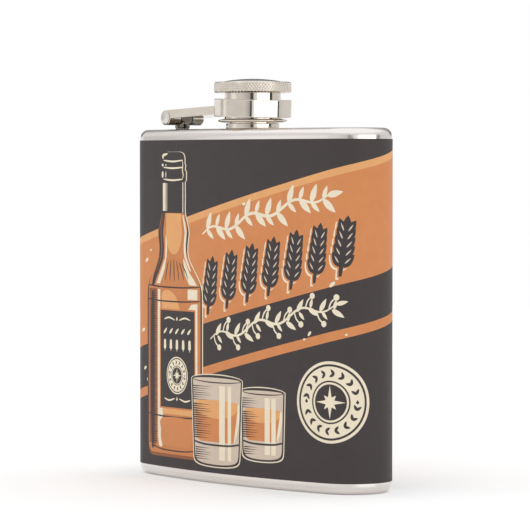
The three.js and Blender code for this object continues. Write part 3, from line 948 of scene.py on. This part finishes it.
def flat_cap(outline, hole):
    """Triangles that fill an outline, apart from a hole."""
    corners = [Vector((p[0], p[1])) for p in outline]
    loops = [list(range(len(corners)))]
    if hole:
        loops.append(list(range(len(corners), len(corners) + len(hole))))
        corners += [Vector(p) for p in hole]
    flat, _, faces, _, _, sources = delaunay_2d_cdt(corners, [], loops, 1, 1e-5, True)
    return flat, [f for f, found in zip(faces, sources) if not (hole and 1 in found)]


def end_plate(name, node, outer_z, direction, hole_radius):
    rings = plate_rings(outer_z, direction)
    points = [p for ring in rings for p in ring]
    faces = strip(rings)
    if direction < 0:
        faces = [f[::-1] for f in faces]
    hole = circle(hole_radius, 96) if hole_radius else None
    for ring, facing in ((rings[0], -direction), (rings[-1], direction)):
        z = ring[0].z
        flat, triangles = flat_cap(ring, hole)
        first = len(points)
        points += [Vector((x, y, z)) for x, y in flat]
        faces += [tuple(first + i for i in (t if facing > 0 else t[::-1])) for t in triangles]
    if hole:
        low, high = sorted((rings[0][0].z, rings[-1][0].z))
        first = len(points)
        points += [Vector((x, y, z)) for z in (high, low) for x, y in hole]
        count = len(hole)
        faces += [(first + i, first + (i + 1) % count, first + count + (i + 1) % count, first + count + i)
                  for i in range(count)]
    plate = new_object(name, points, faces, [BRUSHED])
    weld(plate, 0.002)
    smooth_shade(plate)
    settle(plate, "flask", node)


def end_plates():
    hole = box_mm("spout_neck")[1].x - HOLE_LAP
    end_plate("end_plate_top", "top_plate", highest("top_plate"), 1, hole)
    end_plate("end_plate_bottom", "bottom_plate", lowest("bottom_plate"), -1, None)


# ---------------------------------------------------------------- neck and cap

def thread_height(turns_up):
    """How far a thread stands out, from 0 to 1, along its pitch: a rounded ridge."""
    phase = abs(2 * (turns_up % 1) - 1)
    return max(0.0, min(1.0, 1.5 * phase - 0.35)) ** 0.8


def threaded_rows(radius, bottom, top, start, count):
    """Rings of a threaded wall between two heights. The thread fades out at both its ends."""
    rings = []
    for row in range(count + 1):
        z = bottom + (top - bottom) * row / count
        ring = []
        for i in range(ROUND_STEPS):
            turn = i / ROUND_STEPS
            along = (z - start) / THREAD_PITCH - turn
            fade = max(0.0, min(1.0, 2 * (along + 0.5), 2 * (THREAD_TURNS + 0.5 - along)))
            r = radius + THREAD_DEPTH * fade * thread_height(along)
            ring.append(Vector((r * math.cos(2 * math.pi * turn), r * math.sin(2 * math.pi * turn), z)))
        rings.append(ring)
    return rings


def plain_ring(radius, z, steps=ROUND_STEPS):
    return [Vector((x, y, z)) for x, y in circle(radius, steps)]


def ring_stack(name, rings, materials):
    """A hollow body whose rings follow its section right round."""
    points = [p for ring in rings for p in ring]
    return new_object(name, points, strip(rings, closed_stack=True), materials)


def rounded_rings(profile, radius, steps=ROUND_STEPS):
    return [plain_ring(r, z, steps) for r, z in fillet(profile, radius, False)]


NECK_BORE = 5.6
NECK_WALL = 0.75
COLLAR_WIDTH = 1.1
COLLAR_HEIGHT = 1.5
TAIL_WIDTH = 1.1


def spout_neck():
    """Collar, threaded spout with a rolled lip, and the flange swaged out inside the flask."""
    low, high = box_mm("spout_neck")
    plate_top = highest("top_plate")
    root = NECK_BORE + NECK_WALL
    collar = root + COLLAR_WIDTH
    collar_top = plate_top + COLLAR_HEIGHT
    lip = NECK_WALL / 2
    flange, plate_bottom = root + TAIL_WIDTH, plate_top - SHEET
    tail = rounded_rings([(NECK_BORE, low.z), (flange, low.z), (flange, plate_bottom), (root, plate_bottom),
                          (root, plate_top), (collar, plate_top), (collar, collar_top),
                          (root, collar_top)], 0.22)
    wall = threaded_rows(root, collar_top + 0.15, high.z - lip, collar_top + THREAD_PITCH, 78)
    rolled = [plain_ring(NECK_BORE + lip + lip * math.cos(t), high.z - lip + lip * math.sin(t))
              for t in (math.pi * i / 8 for i in range(1, 9))]
    neck = ring_stack("threaded_neck", tail + wall + rolled, [POLISHED])
    smooth_shade(neck, 60)
    settle(neck, "flask", "spout_neck")


STEM_BORE = 7.1
RIVET_RADIUS = 3.5


def cap_stem():
    """The cap's stem: a cup with a thread groove in its bore and a rivet boss on its end."""
    low, high = box_mm("cap_stem")
    web = highest("cap_liner")
    head_bottom = lowest("cap_head")
    groove = threaded_rows(STEM_BORE, low.z + 0.35, web - 0.3, low.z + THREAD_PITCH, 84)
    edge = [plain_ring(STEM_BORE, web), *groove[::-1]]
    rim = rounded_rings([(STEM_BORE + 0.02, low.z + 0.3), (STEM_BORE + 0.1, low.z), (high.x, low.z),
                         (high.x, head_bottom), (RIVET_RADIUS, head_bottom), (RIVET_RADIUS, high.z),
                         (0.5, high.z)], 0.1)
    rings = edge + rim
    points = [p for ring in rings for p in ring]
    faces = strip(rings)
    for ring, centre_z, first in ((rings[0], web, 0), (rings[-1], high.z, len(points) - ROUND_STEPS)):
        points.append(Vector((0, 0, centre_z)))
        middle = len(points) - 1
        for i in range(ROUND_STEPS):
            j = (i + 1) % ROUND_STEPS
            a, b = (first + j, first + i) if first == 0 else (first + i, first + j)
            faces.append((a, b, middle))
    stem = new_object("stem_of_cap", points, faces, [POLISHED])
    smooth_shade(stem, 50)
    settle(stem, "cap", "cap_stem")


def groove_depth(value):
    """1 at the bottom of a knurl's groove, 0 on its flat crest."""
    return max(0.0, abs(2 * (value % 1) - 1) - KNURL_FLAT) / (1 - KNURL_FLAT)


HEAD_CHAMFER = 0.3
HEAD_WALL = 1.3
HEAD_FLOOR = 1.0
RIVET_GAP = 0.05


def cap_head():
    """The head of the cap, rolled with diamonds round its side and recessed for the disc."""
    low, high = box_mm("cap_head")
    steps = KNURL_COLUMNS * 8
    rows = 28
    bottom, top = low.z + HEAD_CHAMFER, high.z - HEAD_CHAMFER
    rim = high.x - HEAD_CHAMFER - 0.12
    rings = [plain_ring(rim, low.z, steps)]
    for row in range(rows + 1):
        share = row / rows
        ring = []
        for i in range(steps):
            around = KNURL_COLUMNS * i / steps
            climb = KNURL_ROWS * share
            deep = max(groove_depth(around + climb), groove_depth(around - climb))
            radius = high.x - KNURL_DEPTH * deep
            angle = 2 * math.pi * i / steps
            ring.append(Vector((radius * math.cos(angle), radius * math.sin(angle),
                                bottom + (top - bottom) * share)))
        rings.append(ring)
    recess, floor_z, hole = high.x - HEAD_WALL, low.z + HEAD_FLOOR, RIVET_RADIUS + RIVET_GAP
    rings += rounded_rings([(rim, high.z), (recess, high.z), (recess, floor_z), (hole, floor_z),
                            (hole, low.z)], 0.1, steps)
    head = ring_stack("knurled_head", rings, [KNURLED])
    smooth_shade(head, 32)
    settle(head, "cap", "cap_head")


def cap_disc():
    """The domed disc pressed into the head."""
    low, high = box_mm("cap_disc")
    radius = high.x
    dome = 1.0
    sphere = (radius ** 2 + dome ** 2) / (2 * dome)
    profile = [(0, low.z), (radius - 0.05, low.z), (radius, low.z + 0.15)]
    for i in range(24):
        r = radius * (1 - i / 24)
        profile.append((r, high.z - sphere + math.sqrt(sphere ** 2 - r ** 2)))
    profile.append((0, high.z))
    disc = turned("domed_disc", profile, [POLISHED], radius=0.05)
    smooth_shade(disc, 40)
    settle(disc, "cap", "cap_disc")


def cap_liner():
    """The sealing liner, with the ring that the lip presses into it."""
    low, high = box_mm("cap_liner")
    lip = NECK_BORE + NECK_WALL / 2
    profile = [(0, low.z), (lip - 0.5, low.z), (lip - 0.2, low.z + 0.14), (lip + 0.2, low.z + 0.14),
               (lip + 0.5, low.z), (high.x, low.z), (high.x, high.z), (0, high.z)]
    liner = turned("seal_liner", profile, [LINER], radius=0.15)
    smooth_shade(liner, 60)
    settle(liner, "cap", "cap_liner")


WASHER_BEVEL = 1.15
WASHER_EDGE = 0.22          # half of the washer's edge


def retaining_washer():
    """The washer crimped to the stem, bevelled from both sides to a thin rounded edge."""
    low, high = box_mm("retaining_washer")
    inner = box_mm("cap_stem")[1].x + 0.05
    middle = (high.z + low.z) / 2
    root = high.x - WASHER_BEVEL
    profile = [(inner, low.z), (root, low.z), (high.x, middle - WASHER_EDGE),
               (high.x, middle + WASHER_EDGE), (root, high.z), (inner, high.z)]
    washer = turned("crimped_washer", profile, [POLISHED], closed=True, radius=0.3)
    smooth_shade(washer, 50)
    settle(washer, "washer", "retaining_washer")


# ---------------------------------------------------------------- arm and hinge

HINGE = next(j for j in frame["joints"] if j["name"] == "arm_swing")
PIN_X = HINGE["pos_m"][0] / MM
PIN_Z = HINGE["pos_m"][2] / MM
PIN_RADIUS = 0.95
PIN_BORE = 1.0
KNUCKLE_RADIUS = PIN_BORE + 1.13
STRAP_WIDTH = 12.6
STRAP_THICKNESS = 2.4
STRAP_SLOPE = 2.6
SLOT_WIDTH = 4.5
RING_RADIUS = 10.8
RING_BORE = 8.45
RING_HEIGHT = 4.95
RING_TILT = 2
RING_EDGE = 0.25
RING_CORNER = 4.6           # rounding of the upright edges between the ring's flats


def rounded_octagon(inset):
    """The ring's outline: an octagon with rounded corners, one of them towards -X."""
    points = []
    sides, steps = 8, 14
    centre_radius, corner = RING_RADIUS - RING_CORNER, RING_CORNER - inset
    for i in range(sides):
        middle = 2 * math.pi * i / sides
        for step in range(steps + 1):
            angle = middle + (step / steps - 0.5) * 2 * math.pi / sides
            points.append((centre_radius * math.cos(middle) + corner * math.cos(angle),
                           centre_radius * math.sin(middle) + corner * math.sin(angle)))
    return points


def ring_blank():
    """The ring's outside: eight flats, with rounded upper and lower edges."""
    rings = []
    half = RING_HEIGHT / 2
    for side in (-1, 1):
        for step in range(5):
            angle = math.pi / 2 * (step / 4)
            if side > 0:
                inset, z = RING_EDGE * (1 - math.cos(angle)), half - RING_EDGE * (1 - math.sin(angle))
            else:
                inset, z = RING_EDGE * (1 - math.sin(angle)), RING_EDGE * (1 - math.cos(angle)) - half
            rings.append([Vector((x, y, z)) for x, y in rounded_octagon(inset)])
    points = [p for ring in rings for p in ring]
    count = len(rings[0])
    faces = strip(rings)
    faces.append(tuple(reversed(range(count))))
    faces.append(tuple(range(len(points) - count, len(points))))
    return new_object("ring_of_cap", points, faces, [POLISHED])


def ring_place():
    """Where the ring's middle goes, with its slight tilt. The arm's highest point is the ring's upper edge
    on the hinge side."""
    tilt = math.radians(RING_TILT)
    reach = (RING_RADIUS - RING_EDGE) * math.sin(tilt)
    middle = highest("cap_arm") - RING_HEIGHT / 2 * math.cos(tilt) - reach
    return Matrix.Translation(Vector((0, 0, middle)) * MM) @ Matrix.Rotation(tilt, 4, "Y")


def strap_blank():
    """The strap from the hinge pin to inside the ring's wall, rising a little."""
    slope = math.radians(STRAP_SLOPE)
    along = Vector((math.cos(slope), math.sin(slope)))
    across = Vector((-along.y, along.x))
    pin = Vector((PIN_X, PIN_Z))
    length = -PIN_X - RING_BORE + 0.4
    lower = KNUCKLE_RADIUS - STRAP_THICKNESS
    corners = [pin + along * d + across * h
               for d, h in ((0, lower), (length, lower), (length, KNUCKLE_RADIUS), (0, KNUCKLE_RADIUS))]
    strap = prism("strap", corners, -STRAP_WIDTH / 2, STRAP_WIDTH / 2, [POLISHED])
    strap.data.transform(Matrix.Rotation(math.pi / 2, 4, "X"))
    return strap


HINGE_STEPS = 72


def barrel(radius, width):
    """A cylinder along Y through the hinge pin's axis."""
    upright = prism("barrel", circle(radius, HINGE_STEPS), -width / 2, width / 2, [POLISHED])
    return along_y(upright, PIN_X, PIN_Z)


def cap_arm():
    """Ring, strap and the two knuckles, in one piece, with painted shade on the knuckles' undersides: a
    darker steel tint.
    """
    arm = ring_blank()
    arm.data.transform(ring_place())
    combine(arm, strap_blank(), "UNION")
    combine(arm, barrel(KNUCKLE_RADIUS, STRAP_WIDTH), "UNION")
    bore = prism("bore", circle(RING_BORE, ROUND_STEPS), -RING_HEIGHT, RING_HEIGHT, [POLISHED])
    bore.data.transform(ring_place())
    combine(arm, bore, "DIFFERENCE")
    combine(arm, barrel(PIN_BORE, 2 * STRAP_WIDTH), "DIFFERENCE")
    slot_end = KNUCKLE_RADIUS + 0.6
    slot = prism("slot", [(PIN_X - slot_end, -SLOT_WIDTH / 2), (PIN_X + slot_end, -SLOT_WIDTH / 2),
                          (PIN_X + slot_end, SLOT_WIDTH / 2), (PIN_X - slot_end, SLOT_WIDTH / 2)],
                 PIN_Z - slot_end, PIN_Z + slot_end, [POLISHED])
    combine(arm, slot, "DIFFERENCE")
    arm.name = "arm_of_cap"
    soften(arm, 0.12, 3, 30)
    smooth_shade(arm)
    # Painted shade: the faces on the knuckles' undersides take the darker steel tint.
    arm.data.materials.append(KNUCKLE_PAINTED_SHADE)
    for polygon in arm.data.polygons:
        across = Vector((polygon.center.x / MM - PIN_X, polygon.center.z / MM - PIN_Z))
        on_knuckle = PIN_BORE - 0.2 < across.length < KNUCKLE_RADIUS + 0.05
        if on_knuckle and across.y < KNUCKLE_RADIUS - STRAP_THICKNESS - 0.02:
            polygon.material_index = len(arm.data.materials) - 1
    settle(arm, "arm", "cap_arm")


EYE_WIDTH = 3.9


def hinge_post():
    """The turned post with its flared collar, and the eye that takes the pin."""
    base = lowest("hinge_post")
    radius = EYE_WIDTH / 2
    profile = [(0, base), (radius, base), (radius, base + 0.5), (radius + 0.2, base + 0.8),
               (radius + 0.12, base + 1.1), (radius, base + 1.6), (radius, PIN_Z), (0, PIN_Z)]
    post = turned("post_of_hinge", profile, [TURNED], radius=0.08, steps=HINGE_STEPS)
    post.data.transform(Matrix.Translation(Vector((PIN_X, 0, 0)) * MM))
    combine(post, barrel(KNUCKLE_RADIUS, EYE_WIDTH), "UNION")
    combine(post, barrel(PIN_BORE, 2 * EYE_WIDTH), "DIFFERENCE")
    post.data.materials.clear()
    post.data.materials.append(TURNED)
    soften(post, 0.08, 2, 40)
    smooth_shade(post)
    settle(post, "flask", "hinge_post")


def hinge_pin():
    """The pin, with a domed head spread over each end."""
    half = box_mm("hinge_pin")[1].y
    head, shank = PIN_RADIUS + 0.8, half - 0.4
    dome = [(head * math.cos(t), shank + 0.08 + (half - shank - 0.08) * math.sin(t))
            for t in (math.pi / 2 * i / 8 for i in range(8))]
    upper = [(PIN_RADIUS, shank), (head, shank), *dome, (0, half)]
    lower = [(r, -z) for r, z in reversed(upper)]
    pin = turned("pin_of_hinge", lower + upper, [UPSET], radius=0.03, steps=HINGE_STEPS)
    along_y(pin, PIN_X, PIN_Z)
    smooth_shade(pin, 50)
    settle(pin, "pin", "hinge_pin")


def body_wall():
    """The rolled steel wall keeps its CAD shape; only its material changes."""
    wall = frame["nodes"]["body_wall"]
    wall.data.materials.clear()
    wall.data.materials.append(BRUSHED)


# ---------------------------------------------------------------- stage

# What polished steel mirrors at each azimuth: (azimuth, brightness)
STUDIO = [(-180, 0.84), (-150, 0.84), (-134, 0.86), (-110, 0.95), (-93, 1.0), (-78, 0.64), (-64, 0.66),
          (-54, 0.78), (-46, 0.98), (-41, 1.1), (-32, 1.1), (-26, 0.95), (-18, 0.82), (0, 0.8), (20, 0.66),
          (37, 0.5), (41, 0.08), (51, 0.08), (53, 0.85), (66, 1.05), (71, 2.4), (121, 2.4), (123, 0.06),
          (135, 0.06), (137, 0.76), (165, 0.78), (180, 0.84)]
SKY = 1.25                  # overhead
WALL = 0.85                 # above the panels
PANEL_TOP = 0.12            # sine of the elevation where the panels end
DARK_CARD_SPAN = (-172, -94)
FLOOR_RADIUS = 1100


def studio_world():
    """Soft even light for matt surfaces. Mirrors see upright panels with dark gaps between them, an even
    wall above the panels, a bright ceiling, and a dark card behind the flask."""
    world = bpy.data.worlds.new("studio")
    bpy.context.scene.world = world
    world.use_nodes = True
    nodes, links = world.node_tree.nodes, world.node_tree.links
    nodes.clear()
    place = nodes.new("ShaderNodeTexCoord")
    split = nodes.new("ShaderNodeSeparateXYZ")
    links.new(place.outputs["Generated"], split.inputs[0])
    x, y, z = split.outputs

    def do(operation, *values):
        node = nodes.new("ShaderNodeMath")
        node.operation = operation
        for socket, value in zip(node.inputs, values):
            if isinstance(value, (int, float)):
                socket.default_value = value
            else:
                links.new(value, socket)
        return node.outputs[0]

    def clamped(value):
        return do("MAXIMUM", do("MINIMUM", value, 1), 0)

    azimuth = do("ARCTAN2", x, do("MULTIPLY", y, -1))
    share = do("ADD", do("DIVIDE", azimuth, 2 * math.pi), 0.5)
    ramp = nodes.new("ShaderNodeValToRGB")
    links.new(share, ramp.inputs[0])
    stops = ramp.color_ramp.elements
    while len(stops) > 1:
        stops.remove(stops[-1])
    brightest = max(level for _, level in STUDIO)
    for i, (angle, level) in enumerate(STUDIO):
        stop = stops[0] if i == 0 else stops.new((angle + 180) / 360)
        stop.position = (angle + 180) / 360
        stop.color = (level / brightest,) * 3 + (1,)
    panels = do("MULTIPLY", ramp.outputs["Color"], brightest)

    def between(value, low, high, soft):
        rise = do("DIVIDE", do("SUBTRACT", value, low), soft)
        fall = do("DIVIDE", do("SUBTRACT", high, value), soft)
        return clamped(do("MINIMUM", rise, fall))

    def above(low, soft):
        return clamped(do("DIVIDE", do("SUBTRACT", z, low), soft))

    def blend(share, first, second):
        return do("ADD", do("MULTIPLY", do("SUBTRACT", 1, share), first), do("MULTIPLY", share, second))

    wall = blend(above(PANEL_TOP, 0.12), panels, WALL)
    with_sky = blend(above(0.45, 0.25), wall, SKY)
    card_from, card_to = (math.radians(angle) for angle in DARK_CARD_SPAN)
    behind = between(azimuth, card_from, card_to, 0.12)
    low_card = do("MULTIPLY", between(z, 0.03, 0.26, 0.06), 0.3)
    high_card = do("MULTIPLY", between(z, 0.03, 0.8, 0.06), 0.55)
    card = do("MULTIPLY", behind, do("ADD", low_card, high_card))
    mirrored = do("MULTIPLY", with_sky, do("SUBTRACT", 1, card))
    path = nodes.new("ShaderNodeLightPath")
    glossy = path.outputs["Is Glossy Ray"]
    strength = do("ADD", do("MULTIPLY", mirrored, glossy), do("SUBTRACT", 1, glossy))
    background = nodes.new("ShaderNodeBackground")
    background.inputs["Color"].default_value = (1, 1, 1, 1)
    links.new(strength, background.inputs["Strength"])
    output = nodes.new("ShaderNodeOutputWorld")
    links.new(background.outputs[0], output.inputs["Surface"])


def studio_floor():
    edge = [(x, y, 0) for x, y in circle(FLOOR_RADIUS, 96)]
    floor = new_object("floor", edge, [tuple(range(len(edge)))], [floor_paper()])


def studio_camera():
    camera = bpy.data.objects.new("camera", bpy.data.cameras.new("camera"))
    bpy.context.scene.collection.objects.link(camera)
    azimuth = math.radians(CAMERA_AZIMUTH)
    towards = Vector((-math.sin(azimuth), math.cos(azimuth), 0))
    right = Vector((math.cos(azimuth), math.sin(azimuth), 0))
    place = -towards * CAMERA_DISTANCE + right * CAMERA_OFFSET + Vector((0, 0, CAMERA_HEIGHT))
    camera.location = place * MM
    camera.rotation_euler = (math.pi / 2 - math.radians(CAMERA_PITCH), 0, azimuth)
    camera.data.lens = CAMERA_LENS
    camera.data.sensor_width = CAMERA_SENSOR
    camera.data.clip_start = 0.01
    bpy.context.scene.camera = camera


# ---------------------------------------------------------------- assembly

bpy.context.scene.view_settings.view_transform = "Standard"
studio_camera()
studio_world()
studio_floor()
vinyl_wrap()
body_wall()
end_plates()
spout_neck()
hinge_post()
hinge_pin()
cap_arm()
retaining_washer()
cap_stem()
cap_head()
cap_disc()
cap_liner()
